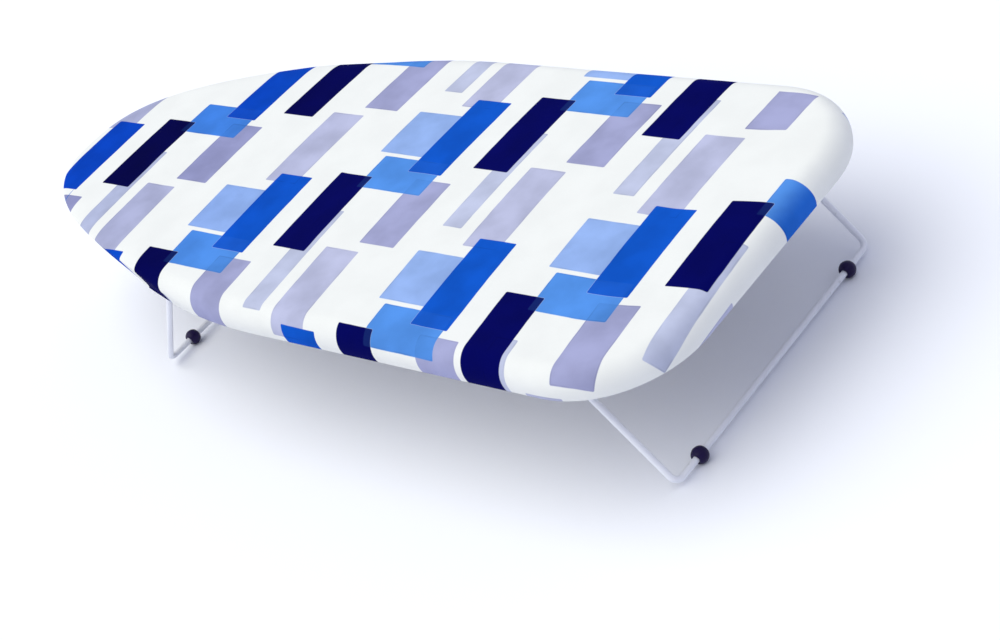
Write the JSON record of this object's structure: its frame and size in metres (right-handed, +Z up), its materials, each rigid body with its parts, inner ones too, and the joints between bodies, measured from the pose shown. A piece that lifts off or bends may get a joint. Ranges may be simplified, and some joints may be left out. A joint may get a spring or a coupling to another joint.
{
  "type": "tabletop ironing board",
  "caption": "Small tabletop ironing board with a rounded nose, a padded printed cotton cover and folding wire legs with bead feet.",
  "frame": {"origin": "on the table, under the middle of the board", "axes": "+X runs from the rounded nose to the square end, +Y across the board, +Z up"},
  "size_m": [0.73, 0.328, 0.125],
  "materials": {
    "printed_cotton": "plain-weave cotton, printed with overlapping blue rectangles",
    "hem_cotton": "white cotton tape, stitched",
    "elastic": "flat braided elastic",
    "foam": "open-cell foam pad",
    "frame_paint": "powder-coated steel, satin",
    "bracket_steel": "powder-coated pressed steel, satin",
    "rivet_steel": "zinc-plated steel",
    "leg_paint": "powder-coated steel wire, semi-gloss",
    "foot_rubber": "soft moulded rubber, satin"
  },
  "bodies": {
    "board": {"cover": "printed_cotton", "hem_casing": "hem_cotton", "hem_elastic": "elastic", "pad": "foam", "mesh_top": "frame_paint", "rim_frame": "frame_paint", "nose_bar": "frame_paint", "middle_bar": "frame_paint", "rear_bar": "frame_paint", "nose_bracket_left": "bracket_steel", "nose_bracket_right": "bracket_steel", "rear_bracket_left": "bracket_steel", "rear_bracket_right": "bracket_steel", "bracket_rivets": "rivet_steel"},
    "nose_leg": {"nose_leg_wire": "leg_paint", "nose_foot_left": "foot_rubber", "nose_foot_right": "foot_rubber", "nose_leg_caps": "rivet_steel"},
    "rear_leg": {"rear_leg_wire": "leg_paint", "rear_foot_left": "foot_rubber", "rear_foot_right": "foot_rubber", "rear_leg_caps": "rivet_steel"}
  },
  "joints": [
    {"name": "nose_leg_fold", "type": "hinge", "parent": "board", "child": "nose_leg", "pos_m": [-0.1367, 0, 0.107], "axis": [0, -1, 0], "range_deg": [0, 124.2]},
    {"name": "rear_leg_fold", "type": "hinge", "parent": "board", "child": "rear_leg", "pos_m": [0.2627, 0, 0.107], "axis": [0, 1, 0], "range_deg": [0, 124.2]}
  ]
}
